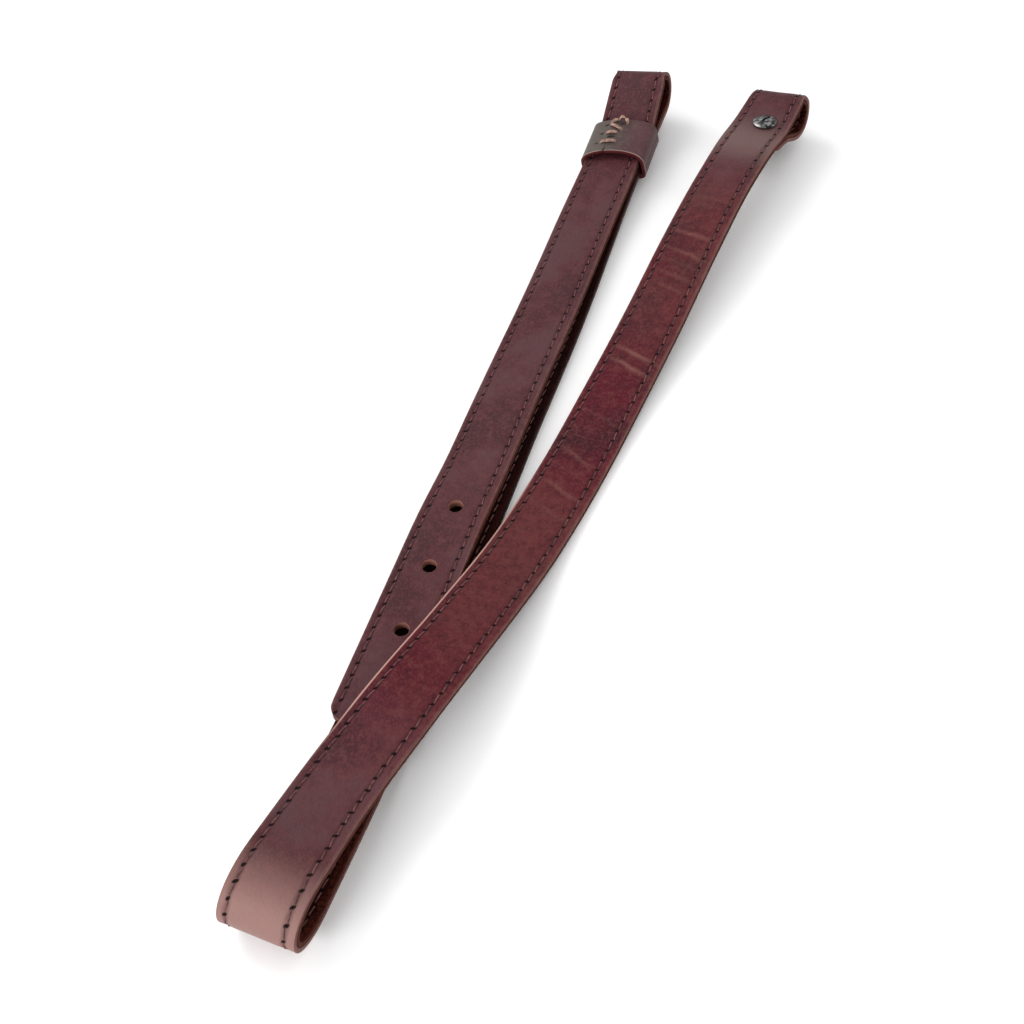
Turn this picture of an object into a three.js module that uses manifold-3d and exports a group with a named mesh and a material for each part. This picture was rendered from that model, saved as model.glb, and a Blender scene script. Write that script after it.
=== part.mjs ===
import * as THREE from 'three';
import Module from 'manifold-3d';

// A leather sling strap that lies folded in a narrow V, in millimetres.
// +Y runs from the fold to the two end loops, +Z is up and the strap lies on z = 0.
// The strap is two thin layers of leather sewn back to back, grain side out.

const strapWidth = 26.2;
const strapThickness = 3.8;
const seamGap = 0.3;
const edgeChamfer = 0.6;
const foldSpread = 2.7;
const foldSpreadLength = 130;
const endCornerRadius = 6;
const clampGap = 0.5;

// The punched holes of the tail, counted from its end
const punchDiameter = 5.8;
const punchFirst = 42;
const punchSpacing = 30;
const punchCount = 3;

// The screw that closes the loop of the carrying half
const screwHoleDiameter = 5.4;
const screwFromCrest = 18.5;
const screwAcross = 1.5;
const flapPastScrew = 10.5;
const barrelDiameter = 4.8;
const barrelBore = 3.4;
const flangeDiameter = 8.4;
const flangeThickness = 1.2;
const headDiameter = 12;
const headRim = 0.7;
const headCrown = 1.2;
const shankDiameter = 2.8;
const slotWidth = 1.2;
const slotDepth = 0.8;
const screwGap = 0.3;

// The keeper sleeve, a band of leather sewn into a flat tube with its seam on top
const keeperLength = 24.5;
const keeperWidth = 31.6;
const keeperHeight = 14;
const keeperWall = 1.7;
const keeperCornerRadius = 4;
const keeperSeamWidth = 1;
const keeperSeamDepth = 0.9;
const keeperSeamOffset = -2.5;
const keeperSeamSlant = 6;
const keeperFromBottom = 33.5;
const keeperFromCrest = 37.5;
const keeperTurn = 2;

// Middle line of each run. lean is how far the right-hand edge is raised, in degrees.
const carryingRun = [
    { x: 33.5, y: 225.5, z: 23.5, lean: 9 },
    { x: 31.5, y: 206, z: 21, lean: 2 },
    { x: 29.5, y: 186, z: 22.5, lean: 4.5 },
    { x: 27, y: 165, z: 20, lean: 7 },
    { x: 25, y: 121, z: 16.5, lean: 5.5 },
    { x: 23, y: 78.5, z: 9.5, lean: 3.5 },
    { x: 20.5, y: 34, z: 4, lean: 1.5 },
    { x: 18.5, y: -10, z: 1.9, lean: 0 },
    { x: 16, y: -52.5, z: 4.5, lean: -3 },
    { x: 13, y: -98.5, z: 15, lean: -6 },
    { x: 8.5, y: -141, z: 23, lean: -6.5 },
    { x: 1, y: -180, z: 20.5, lean: -2 },
    { x: 0, y: -206.5, z: 25, lean: -2.5 },
];
const lyingRun = [
    { x: -3, y: -210.5, z: 1.9, lean: 0 },
    { x: -4, y: -171, z: 1.9, lean: 0 },
    { x: -7.5, y: -105, z: 1.9, lean: 0 },
    { x: -12, y: -39.5, z: 1.9, lean: 0 },
    { x: -16, y: 4.5, z: 1.9, lean: 0 },
    { x: -20.5, y: 61.5, z: 1.9, lean: 0 },
    { x: -23.5, y: 92.5, z: 1.9, lean: 0 },
    { x: -27, y: 125, z: 2.6, lean: 2 },
    { x: -29.5, y: 157, z: 5.3, lean: 6 },
    { x: -31, y: 186.5, z: 8.2, lean: 8.5 },
    { x: -33, y: 216.5, z: 8.5, lean: 10.5 },
];
const tailRun = [
    { x: -33.5, y: 217, z: 26, lean: 11.5 },
    { x: -32.5, y: 203.5, z: 18.3, lean: 9.5 },
    { x: -32, y: 195, z: 13.2, lean: 8.5 },
    { x: -31.5, y: 184, z: 12.5, lean: 8.5 },
    { x: -30.5, y: 161.5, z: 10.3, lean: 6.5 },
    { x: -29, y: 131.5, z: 7.8, lean: 4.5 },
    { x: -26.5, y: 100.5, z: 7, lean: 4.5 },
    { x: -24, y: 69.5, z: 6.9, lean: 4 },
    { x: -22, y: 39.5, z: 6.9, lean: 4 },
    { x: -19.5, y: 8.5, z: 7.5, lean: 4 },
    { x: -16.5, y: -22.5, z: 8.7, lean: 3 },
    { x: -14.5, y: -53.5, z: 9.6, lean: 0 },
    { x: -12, y: -84.5, z: 9, lean: -2 },
    { x: -7, y: -147, z: 8, lean: -2 },
];
const screwLoopBottom = { x: 32.5, y: 217, z: 9.5, lean: 5.5 };

// How far the handles of each bend reach past the ends of its two runs
const foldBend = { from: 29, to: 26, steps: 22 };
const screwLoopBend = { from: 22, to: 10, steps: 18 };
const tailLoopBend = { from: 16.5, to: 10, steps: 16 };
const runStep = 9;
const flapStep = 3;
const cornerSteps = [0, 0.5, 1.6, 3.4];
const roundSides = 24;

const leather = new THREE.MeshStandardMaterial({ color: 0x4a2528, roughness: 0.55, metalness: 0 });
const lining = new THREE.MeshStandardMaterial({ color: 0x6b3522, roughness: 0.9, metalness: 0 });
const sleeveLeather = new THREE.MeshStandardMaterial({ color: 0x3e2a29, roughness: 0.6, metalness: 0 });
const darkSteel = new THREE.MeshStandardMaterial({ color: 0x2b2a2a, roughness: 0.35, metalness: 1 });

const wasm = await Module();
wasm.setup();

const { Manifold, Mesh } = wasm;

function geometryOf(solid) {
    const mesh = solid.getMesh();
    const geometry = new THREE.BufferGeometry();
    geometry.setAttribute('position', new THREE.BufferAttribute(mesh.vertProperties, 3));
    geometry.setIndex(new THREE.BufferAttribute(mesh.triVerts, 1));
    geometry.computeVertexNormals();
    return geometry;
}

// A station holds a point of the middle line, the way along it, across it and out of its grain side
function stationAt(point, along, across) {
    across.addScaledVector(along, -across.dot(along)).normalize();
    return { point, along, across, out: new THREE.Vector3().crossVectors(along, across) };
}

function stationFrom(place, change) {
    const along = new THREE.Vector3(change.x, change.y, change.z).normalize();
    const across = new THREE.Vector3(Math.abs(change.y), -change.x * Math.sign(change.y), 0).normalize();
    const lean = THREE.MathUtils.degToRad(place.lean);
    across.multiplyScalar(Math.cos(lean)).add(new THREE.Vector3(0, 0, Math.sin(lean)));
    return stationAt(new THREE.Vector3(place.x, place.y, place.z), along, across);
}

// A smooth curve through the rows, read by its distance from the first row
function curveThrough(rows) {
    const knots = [0];
    for (let i = 1; i < rows.length; i++) {
        const a = rows[i - 1];
        const b = rows[i];
        knots.push(knots[i - 1] + Math.hypot(b.x - a.x, b.y - a.y, b.z - a.z));
    }
    const last = rows.length - 1;
    const rise = (key, i) => (rows[i + 1][key] - rows[i][key]) / (knots[i + 1] - knots[i]);
    function slope(key, i) {
        if (i === 0 || i === last) {
            return rise(key, Math.min(i, last - 1));
        }
        const before = knots[i] - knots[i - 1];
        const after = knots[i + 1] - knots[i];
        return (rise(key, i - 1) * after + rise(key, i) * before) / (before + after);
    }
    function at(distance) {
        const next = knots.findIndex((knot, i) => i > 0 && (distance <= knot || i === last));
        const i = next - 1;
        const span = knots[next] - knots[i];
        const t = (distance - knots[i]) / span;
        const place = {};
        const change = {};
        for (const key of ['x', 'y', 'z', 'lean']) {
            const a = rows[i][key];
            const b = rows[next][key];
            const leave = slope(key, i) * span;
            const arrive = slope(key, next) * span;
            const square = 3 * (b - a) - 2 * leave - arrive;
            const cube = 2 * (a - b) + leave + arrive;
            place[key] = a + t * (leave + t * (square + t * cube));
            change[key] = leave + t * (2 * square + 3 * t * cube);
        }
        return stationFrom(place, change);
    }
    return { length: knots[last], at };
}

function stationsAlong(curve, from = 0, to = curve.length, step = runStep) {
    const count = Math.max(2, Math.round((to - from) / step));
    return Array.from({ length: count + 1 }, (_, i) => curve.at(from + (to - from) * i / count));
}

// The stations between two runs, round one smooth bend
function bendBetween(start, end, bend) {
    const path = new THREE.CubicBezierCurve3(
        start.point,
        start.point.clone().addScaledVector(start.along, bend.from),
        end.point.clone().addScaledVector(end.along, -bend.to),
        end.point,
    );
    const stations = [];
    for (let i = 1; i < bend.steps; i++) {
        const share = i / bend.steps;
        const across = start.across.clone().lerp(end.across, share);
        stations.push(stationAt(path.getPoint(share), path.getTangent(share), across));
    }
    return stations;
}

const carrying = curveThrough(carryingRun);
const lying = curveThrough(lyingRun);
const tail = curveThrough(tailRun);
const screwStation = carrying.at(screwFromCrest);
screwStation.point.addScaledVector(screwStation.across, screwAcross);

// The end that is folded back under the screw lies against the run above it
function rowUnder(distance) {
    const { point, across, out } = carrying.at(distance);
    const under = point.clone().addScaledVector(out, -(strapThickness + clampGap));
    const lean = THREE.MathUtils.radToDeg(Math.asin(across.z));
    return { x: under.x, y: under.y, z: under.z, lean };
}

const flapRun = [
    rowUnder(screwFromCrest + flapPastScrew),
    rowUnder(screwFromCrest + flapPastScrew / 2),
    rowUnder(screwFromCrest),
    rowUnder(screwFromCrest - flangeDiameter / 2),
    screwLoopBottom,
];

// Every station of the strap from the flap to the tail, with its distance from the start
function strapRoute() {
    const flap = curveThrough(flapRun);
    const flapStations = [
        ...cornerSteps.map((step) => flap.at(step)),
        ...stationsAlong(flap, endCornerRadius, flap.length, flapStep),
    ];
    const carryingStations = stationsAlong(carrying);
    const lyingStations = stationsAlong(lying);
    const tailStations = [
        ...stationsAlong(tail, 0, tail.length - endCornerRadius),
        ...cornerSteps.map((step) => tail.at(tail.length - step)).reverse(),
    ];
    const foldStations = bendBetween(carryingStations.at(-1), lyingStations[0], foldBend);
    const stations = [
        ...flapStations,
        ...bendBetween(flapStations.at(-1), carryingStations[0], screwLoopBend),
        ...carryingStations,
        ...foldStations,
        ...lyingStations,
        ...bendBetween(lyingStations.at(-1), tailStations[0], tailLoopBend),
        ...tailStations,
    ];
    let distance = 0;
    stations.forEach((station, i) => {
        distance += i === 0 ? 0 : station.point.distanceTo(stations[i - 1].point);
        station.distance = distance;
    });
    const fold = foldStations[Math.round(foldStations.length / 2)].distance;
    return { stations, length: distance, fold };
}

// How far the strap reaches to each side of its middle line
function halfWidthAt(distance, route) {
    const spread = foldSpread * Math.max(0, 1 - Math.abs(distance - route.fold) / foldSpreadLength);
    const toEnd = Math.max(0, Math.min(distance, route.length - distance));
    const inCorner = Math.max(0, endCornerRadius - toEnd);
    const cornerCut = endCornerRadius - Math.sqrt(endCornerRadius ** 2 - inCorner ** 2);
    return (strapWidth + spread) / 2 - cornerCut;
}

// One of the two layers, between the seam and the outside, bevelled along its free edges.
// Both layers split their faces along the same diagonals, so they stay apart where they twist.
function layerOf(route, side) {
    const seam = side * seamGap / 2;
    const surface = side * strapThickness / 2;
    const bevel = surface - side * edgeChamfer;
    const rings = route.stations.map((station) => {
        const half = halfWidthAt(station.distance, route);
        const outline = [
            [-half, seam],
            [half, seam],
            [half, bevel],
            [half - edgeChamfer, surface],
            [edgeChamfer - half, surface],
            [-half, bevel],
        ];
        const ordered = side > 0 ? outline : outline.reverse();
        return ordered.map(([across, out]) => station.point.clone()
            .addScaledVector(station.across, across)
            .addScaledVector(station.out, out));
    });
    const corners = rings[0].length;
    const triangles = [];
    for (let k = 1; k < corners - 1; k++) {
        const last = (rings.length - 1) * corners;
        triangles.push(0, k + 1, k);
        triangles.push(last, last + k, last + k + 1);
    }
    for (let i = 0; i < rings.length - 1; i++) {
        for (let k = 0; k < corners; k++) {
            const a = i * corners + k;
            const b = i * corners + (k + 1) % corners;
            triangles.push(a, b, side > 0 ? b + corners : a + corners);
            triangles.push(side > 0 ? a : b, b + corners, a + corners);
        }
    }
    return new Manifold(new Mesh({
        numProp: 3,
        vertProperties: new Float32Array(rings.flat().flatMap((point) => point.toArray())),
        triVerts: new Uint32Array(triangles),
    }));
}

// Sets a shape made round the z axis upright on a station of the strap
function standOn(solid, station) {
    const frame = new THREE.Matrix4().makeBasis(station.along, station.across, station.out);
    return solid.transform(frame.setPosition(station.point).elements);
}

function rod(diameter, from, to) {
    const upright = Manifold.cylinder(to - from, diameter / 2, diameter / 2, roundSides);
    return upright.translate([0, 0, from]);
}

// Heights of the screw, measured up from the middle line of the run under its head
const clampTop = strapThickness / 2;
const clampBottom = -clampTop - clampGap - strapThickness;

// The tail holes, the hole for the screw and the flats that its head and flange press
function punchedThrough(layer) {
    const reach = strapThickness;
    const punches = Array.from({ length: punchCount }, (_, i) => {
        const station = tail.at(tail.length - punchFirst - i * punchSpacing);
        return standOn(rod(punchDiameter, -reach, reach), station);
    });
    const screwHole = rod(screwHoleDiameter, -reach * 3, reach);
    const headSeat = rod(headDiameter + 2 * screwGap, clampTop, clampTop + reach);
    const flangeSeat = rod(flangeDiameter + 2 * screwGap, clampBottom - reach, clampBottom);
    const atScrew = [screwHole, headSeat, flangeSeat].map((tool) => standOn(tool, screwStation));
    return [...punches, ...atScrew].reduce((rest, tool) => rest.subtract(tool), layer);
}

function screwPost() {
    const flangeTop = clampBottom - screwGap;
    const flange = rod(flangeDiameter, flangeTop - flangeThickness, flangeTop);
    const barrel = rod(barrelDiameter, flangeTop - flangeThickness / 2, clampTop);
    const bore = rod(barrelBore, flangeTop, clampTop + 1);
    return standOn(flange.add(barrel).subtract(bore), screwStation);
}

function screwHead() {
    const seat = clampTop + screwGap;
    const radius = headDiameter / 2;
    const domeRadius = (radius ** 2 + headCrown ** 2) / (2 * headCrown);
    const dome = Manifold.sphere(domeRadius, 120)
        .translate([0, 0, seat + headRim + headCrown - domeRadius])
        .intersect(rod(headDiameter, seat, seat + headRim + headCrown));
    const shank = rod(shankDiameter, clampBottom + 1, seat + headRim);
    const slotHeight = seat + headRim + headCrown - slotDepth;
    const slot = Manifold.cube([headDiameter, slotWidth, slotDepth * 2], true)
        .translate([0, 0, slotHeight + slotDepth]);
    return standOn(dome.add(shank).subtract(slot), screwStation);
}

// The outline of a box with rounded corners, round the origin
function roundedOutline(width, height, radius, steps = 5) {
    const points = [];
    for (let corner = 0; corner < 4; corner++) {
        const x = (corner === 0 || corner === 3 ? 1 : -1) * (width / 2 - radius);
        const y = (corner < 2 ? 1 : -1) * (height / 2 - radius);
        for (let i = 0; i <= steps; i++) {
            const turn = (corner + i / steps) * Math.PI / 2;
            points.push([x + radius * Math.cos(turn), y + radius * Math.sin(turn)]);
        }
    }
    return points;
}

function keeperSleeve() {
    const outer = roundedOutline(keeperWidth, keeperHeight, keeperCornerRadius);
    const opening = roundedOutline(
        keeperWidth - 2 * keeperWall,
        keeperHeight - 2 * keeperWall,
        keeperCornerRadius - keeperWall,
    );
    const band = Manifold.extrude([outer], keeperLength, 0, 0, [1, 1], true);
    const bore = Manifold.extrude([opening], keeperLength + 2, 0, 0, [1, 1], true);
    const groove = Manifold.cube([keeperSeamWidth, 2 * keeperSeamDepth, keeperLength + 6], true)
        .rotate([0, -keeperSeamSlant, 0])
        .translate([keeperSeamOffset, keeperHeight / 2, 0]);
    const sleeve = band.subtract(bore).subtract(groove).rotate([0, keeperTurn, 0]);
    const below = lying.at(lying.length - keeperFromBottom);
    const above = tail.at(keeperFromCrest);
    const middle = stationAt(
        below.point.clone().add(above.point).multiplyScalar(0.5),
        below.along.clone().sub(above.along).normalize(),
        below.across.clone().add(above.across),
    );
    const up = middle.out.clone().negate();
    const frame = new THREE.Matrix4().makeBasis(middle.across, up, middle.along.clone().negate());
    return sleeve.transform(frame.setPosition(middle.point).elements);
}

const group = new THREE.Group();

function addPiece(name, solid, material) {
    const mesh = new THREE.Mesh(geometryOf(solid), material);
    mesh.name = name;
    group.add(mesh);
}

const route = strapRoute();
addPiece('strap_face', punchedThrough(layerOf(route, 1)), leather);
addPiece('strap_lining', punchedThrough(layerOf(route, -1)), lining);
addPiece('keeper', keeperSleeve(), sleeveLeather);
addPiece('screw_post', screwPost(), darkSteel);
addPiece('screw_head', screwHead(), darkSteel);

// The middle of the footprint is the origin and the lowest point stands at zero
const box = new THREE.Box3().setFromObject(group);
const middle = box.getCenter(new THREE.Vector3());
group.position.set(-middle.x, -middle.y, -box.min.z);
group.updateMatrixWorld(true);

export default group;
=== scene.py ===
import bisect
import math

import bmesh
import bpy
from mathutils import Matrix, Vector, noise


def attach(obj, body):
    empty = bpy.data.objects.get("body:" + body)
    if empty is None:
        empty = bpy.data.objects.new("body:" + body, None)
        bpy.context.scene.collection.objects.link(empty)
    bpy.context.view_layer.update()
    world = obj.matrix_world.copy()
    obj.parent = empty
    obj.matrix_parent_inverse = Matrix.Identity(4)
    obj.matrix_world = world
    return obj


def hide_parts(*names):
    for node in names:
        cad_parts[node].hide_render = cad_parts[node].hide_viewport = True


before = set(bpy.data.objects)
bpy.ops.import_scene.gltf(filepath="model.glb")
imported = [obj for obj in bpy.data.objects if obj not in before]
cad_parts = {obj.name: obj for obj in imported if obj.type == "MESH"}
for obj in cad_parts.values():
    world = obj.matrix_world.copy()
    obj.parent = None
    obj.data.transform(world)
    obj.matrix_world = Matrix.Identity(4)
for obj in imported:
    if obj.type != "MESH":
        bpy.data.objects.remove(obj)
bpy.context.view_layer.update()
mm = 0.001
print("frame loaded")

# The strap, in millimetres. The rows are its middle line: x, y, z and how far the right edge leans up.
strap = {
    "width": 26.2,
    "thickness": 3.8,
    "seam": 0.16,
    "edgeRound": 0.6,
    "foldSpread": 2.7,
    "foldSpreadLength": 130,
    "endCornerRadius": 6,
    "crestDrawnIn": 1.0,
    "crestReach": 2.6,
    "step": 2.0,
    "fineStep": 1.0,
    "columns": 28,
    "shift": (0.595, -1.083, 0.077),
    "puff": 0.16,
    "stitchSink": 0.22,
    "seed": 11,
}
stitching = {
    "rows": (-10.2, 9.6),
    "pitch": 5.4,
    "threadRadius": 0.29,
    "slant": 0.6,
    "holeLength": 1.75,
    "holeWidth": 1.25,
    "fromEnd": 7,
    "color": (112, 70, 68),
}
holes = {"diameter": 5.8, "first": 42, "spacing": 30, "count": 3, "screw": 5.4, "wallColor": (136, 92, 80)}
litEdge = {"from": 236, "length": 170, "color": (184, 144, 132)}  # a painted highlight along the edge over the crossing, from the crest
screw = {
    "fromCrest": 18.5,
    "across": 1.5,
    "flapPast": 10.5,
    "clampGap": 0.5,
    "flapDrop": 0.8,
    "flapAside": 0.8,
    "gap": 0.3,
    "headDiameter": 11.5,
    "headRim": 0.7,
    "headCrown": 1.2,
    "slotWidth": 1.2,
    "slotDepth": 0.8,
    "flangeDiameter": 8.4,
    "flangeThickness": 1.2,
    "barrelDiameter": 4.8,
    "headTilt": 9,
    "slotTurn": 160,
    "color": (146, 145, 144),
}
keeper = {
    "length": 24.5,
    "width": 31.6,
    "height": 14,
    "wall": 1.7,
    "cornerRadius": 4,
    "fromBottom": 33.5,
    "fromCrest": 37.5,
    "turn": 2,
    "dome": 1.9,
    "farReach": 1.6,
    "seamAt": -3.4,
    "seamSlant": 2.4,
}
carryingRun = [
    (33.5, 225.5, 23.5, 9), (31.5, 206, 21, 2), (29.5, 186, 22.5, 4.5), (27, 165, 20, 7), (25, 121, 16.5, 5.5),
    (23, 78.5, 9.5, 3.5), (20.5, 34, 4, 1.5), (18.5, -10, 1.9, 0), (16, -52.5, 4.5, -3), (13, -98.5, 15, -6),
    (8.5, -141, 23, -6.5), (1, -180, 20.5, -2), (0, -206.5, 25, -2.5),
]
lyingRun = [
    (-3, -210.5, 1.9, 0), (-4, -171, 1.9, 0), (-7.5, -105, 1.9, 0), (-12, -39.5, 1.9, 0), (-16, 4.5, 1.9, 0),
    (-20.5, 61.5, 1.9, 0), (-23.5, 92.5, 1.9, 0), (-27, 125, 2.6, 2), (-29.5, 157, 5.3, 6), (-31, 186.5, 8.2, 8.5),
    (-33, 216.5, 8.5, 10.5),
]
tailRun = [
    (-33.5, 217, 26, 11.5), (-32.5, 203.5, 18.3, 9.5), (-32, 195, 13.2, 8.5), (-31.5, 184, 12.5, 8.5),
    (-30.5, 161.5, 10.3, 6.5), (-29, 131.5, 7.8, 4.5), (-26.5, 100.5, 7, 4.5), (-24, 69.5, 6.9, 4),
    (-22, 39.5, 6.9, 4), (-19.5, 8.5, 7.5, 4), (-16.5, -22.5, 8.7, 3), (-14.5, -53.5, 9.6, 0),
    (-12, -84.5, 9, -2), (-7, -147, 8, -2),
]
screwLoopBottom = (32.5, 217, 10.3, 5.5)
bends = {"fold": (29, 26), "screwLoop": (22, 10), "tailLoop": (16.5, 10)}  # how far the handles reach at each end

# Creases across the carrying half: distance from the crest of its loop, slant in mm, depth in mm, width in mm
creases = [
    (76, 4, 0.08, 0.8), (100, 5, 0.2, 0.9), (111, 6, 0.18, 0.9), (117, 6, 0.08, 0.8), (124, 6, 0.12, 0.8),
    (131, 6, 0.08, 0.8), (169, 6, 0.3, 0.9), (176, 7, 0.32, 0.9), (205, 7, 0.07, 0.8), (228, 9, 0.16, 0.9),
    (236, 9, 0.08, 0.8), (246, 9, 0.16, 0.9), (258, 8, 0.06, 0.8),
]


# The course is a list of stations: a point, the way along, the way across and the way out of the grain side.
def station(point, along, across):
    across = (across - along * across.dot(along)).normalized()
    return point, along, across, along.cross(across)


def curveThrough(rows):
    knots = [0.0]
    for a, b in zip(rows, rows[1:]):
        knots.append(knots[-1] + math.dist(a[:3], b[:3]))
    last = len(rows) - 1

    def rise(k, i):
        return (rows[i + 1][k] - rows[i][k]) / (knots[i + 1] - knots[i])

    def slope(k, i):
        if i in (0, last):
            return rise(k, min(i, last - 1))
        before, after = knots[i] - knots[i - 1], knots[i + 1] - knots[i]
        return (rise(k, i - 1) * after + rise(k, i) * before) / (before + after)

    def at(distance):
        i = min(max(bisect.bisect_right(knots, distance) - 1, 0), last - 1)
        span = knots[i + 1] - knots[i]
        t = (distance - knots[i]) / span
        place, change = [], []
        for k in range(4):
            a, b = rows[i][k], rows[i + 1][k]
            leave, arrive = slope(k, i) * span, slope(k, i + 1) * span
            square, cube = 3 * (b - a) - 2 * leave - arrive, 2 * (a - b) + leave + arrive
            place.append(a + t * (leave + t * (square + t * cube)))
            change.append(leave + t * (2 * square + 3 * t * cube))
        lean = math.radians(place[3])
        level = Vector((abs(change[1]), -math.copysign(change[0], change[0] * change[1]) if change[0] else 0, 0))
        across = level.normalized() * math.cos(lean) + Vector((0, 0, math.sin(lean)))
        return station(Vector(place[:3]), Vector(change[:3]).normalized(), across)

    return knots[-1], at


def bendBetween(start, end, handles, count=60):
    p0, p3 = start[0], end[0]
    p1, p2 = p0 + start[1] * handles[0], p3 - end[1] * handles[1]
    made = []
    for i in range(1, count):
        t = i / count
        s = 1 - t
        point = p0 * s ** 3 + p1 * (3 * s * s * t) + p2 * (3 * s * t * t) + p3 * t ** 3
        along = ((p1 - p0) * s * s + (p2 - p1) * (2 * s * t) + (p3 - p2) * t * t).normalized()
        made.append(station(point, along, start[2].lerp(end[2], t)))
    return made


def along(curve, step=1.0):
    length, at = curve
    count = round(length / step)
    return [at(length * i / count) for i in range(count + 1)]


carrying = curveThrough(carryingRun)
lying = curveThrough(lyingRun)
tail = curveThrough(tailRun)


def rowUnder(distance, drop, aside):
    point, _, across, out = carrying[1](distance)
    under = point - out * (strap["thickness"] + screw["clampGap"] + drop) - across * aside
    return (*under, math.degrees(math.asin(across.z)))


flap = curveThrough([
    rowUnder(screw["fromCrest"] + screw["flapPast"], 0, 2 * screw["flapAside"]),
    rowUnder(screw["fromCrest"] + screw["flapPast"] / 2, 0, 1.6 * screw["flapAside"]),
    rowUnder(screw["fromCrest"], screw["flapDrop"], screw["flapAside"]),
    screwLoopBottom,
])
runs = [along(flap), along(carrying), along(lying), along(tail)]
pieces = [
    ("flap", runs[0]),
    ("screwLoop", bendBetween(runs[0][-1], runs[1][0], bends["screwLoop"])),
    ("carrying", runs[1]),
    ("fold", bendBetween(runs[1][-1], runs[2][0], bends["fold"])),
    ("lying", runs[2]),
    ("tailLoop", bendBetween(runs[2][-1], runs[3][0], bends["tailLoop"])),
    ("tail", runs[3]),
]
shift = Vector(strap["shift"])
course, distances, startOf = [], [], {}
for name, stations in pieces:
    startOf[name] = None
    for point, ahead, across, out in stations:
        moved = point + shift
        gone = 0.0 if not course else distances[-1] + (moved - course[-1][0]).length
        if startOf[name] is None:
            startOf[name] = gone
        course.append((moved, ahead, across, out))
        distances.append(gone)
total = distances[-1]
foldAt = (startOf["fold"] + startOf["lying"]) / 2
crests = [startOf["carrying"] - 3.5, startOf["tail"] - 3.5]  # the edges draw in a little where the loops turn over
print(f"strap course {total:.0f} mm")


def courseAt(distance):
    i = min(max(bisect.bisect_right(distances, distance) - 1, 0), len(distances) - 2)
    t = (distance - distances[i]) / (distances[i + 1] - distances[i])
    a, b = course[i], course[i + 1]
    return tuple(p.lerp(q, t) for p, q in zip(a, b))


def straightHalf(distance):
    spread = strap["foldSpread"] * max(0, 1 - abs(distance - foldAt) / strap["foldSpreadLength"])
    return (strap["width"] + spread) / 2


def halfAt(distance):
    radius = strap["endCornerRadius"]
    inCorner = min(radius, max(0, radius - min(distance, total - distance)))
    drawnIn = sum(math.exp(-(((distance - crest) / strap["crestReach"]) ** 2)) for crest in crests) * strap["crestDrawnIn"]
    return straightHalf(distance) - drawnIn - (radius - math.sqrt(radius ** 2 - inCorner ** 2))


screwAt = startOf["carrying"] + screw["fromCrest"]
flapScrewAt = screw["flapPast"]
holePlaces = [(total - holes["first"] - i * holes["spacing"], 0, holes["diameter"] / 2) for i in range(holes["count"])]
holePlaces += [(screwAt, screw["across"], holes["screw"] / 2), (flapScrewAt, screw["across"] + screw["flapAside"], holes["screw"] / 2)]


# Rows of the leather's grid, closer together at the ends, holes, creases and bends
def rowDistances():
    corner = strap["endCornerRadius"]
    ends = [0, 0.12, 0.5, 1.1, 1.9, 2.9, 4.2]
    places = list(ends)
    d = float(corner)
    while d < total - corner:
        places.append(d)
        near = any(abs(d - h[0]) < 7 for h in holePlaces)
        creased = any(abs(d - startOf["carrying"] - c[0]) < 8 for c in creases)
        bent = any(startOf[a] - 4 < d < startOf[b] + 4 for a, b in (("screwLoop", "carrying"), ("fold", "lying"), ("tailLoop", "tail")))
        d += strap["fineStep"] if near or creased or bent else strap["step"]
    return places + [total - e for e in reversed(ends)]


def creaseTone(distance, across):
    tone = 0.0
    for place, slant, depth, width in creases:
        line = distance - startOf["carrying"] - place - slant * across / strap["width"]
        line -= 1.2 * noise.noise(Vector((across / 6, place, 3)))
        if abs(line) < 5:
            fade = max(0, min(1, 1.2 - abs(across - 1) / 12))
            tone = max(tone, fade * min(1, depth * 3.2) * math.exp(-((line / width) ** 2)))
    return tone


def relief(distance, across):
    rise = strap["puff"] * (1 - (across / straightHalf(distance)) ** 4) - strap["puff"]
    scale = straightHalf(distance) / (strap["width"] / 2)
    for row in stitching["rows"]:
        rise -= strap["stitchSink"] * math.exp(-(((across / scale - row) / 0.9) ** 2))
    rise += 0.16 * noise.noise(Vector((distance / 26, across / 16, strap["seed"])))
    for place, slant, depth, width in creases:
        line = distance - startOf["carrying"] - place - slant * across / strap["width"]
        line -= 1.2 * noise.noise(Vector((across / 6, place, 3)))
        if abs(line) < 6:
            fade = max(0, min(1, 1.15 - abs(across - 2) / 13))
            rise += fade * depth * (0.8 * math.exp(-((line / width) ** 2)) - 0.7 * math.exp(-(((line - 1.7) / 1.3) ** 2)))
    return rise


def punch(bm, place, top):
    distance, across, radius = place
    centre = Vector((distance, across, 0))

    def inside(face):
        c = face.calc_center_median()
        return math.hypot(c.x - centre.x, c.y - centre.y)

    close = [f for f in bm.faces if abs(f.calc_center_median().x - distance) < radius + 3 and inside(f) < radius + 2]
    edges = list({e for f in close for e in f.edges})
    bmesh.ops.subdivide_edges(bm, edges=edges, cuts=2, use_grid_fill=True)
    gone = [f for f in bm.faces if abs(f.calc_center_median().x - distance) < radius + 1 and inside(f) < radius]
    bmesh.ops.delete(bm, geom=gone, context="FACES")
    rim = [e for e in bm.edges if e.is_boundary and abs(e.verts[0].co.x - distance) < radius + 2]
    for v in {v for e in rim for v in e.verts}:
        away = Vector((v.co.x - centre.x, v.co.y - centre.y, 0)).normalized() * radius
        v.co.x, v.co.y = centre.x + away.x, centre.y + away.y
    made = bmesh.ops.bridge_loops(bm, edges=rim)
    lip = [e for f in made["faces"] for e in f.edges if all(abs(v.co.z - top) < 1e-4 for v in e.verts)]
    bmesh.ops.bevel(bm, geom=list(set(lip)), offset=0.4, segments=2, profile=0.5, affect="EDGES", material=-1)


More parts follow.
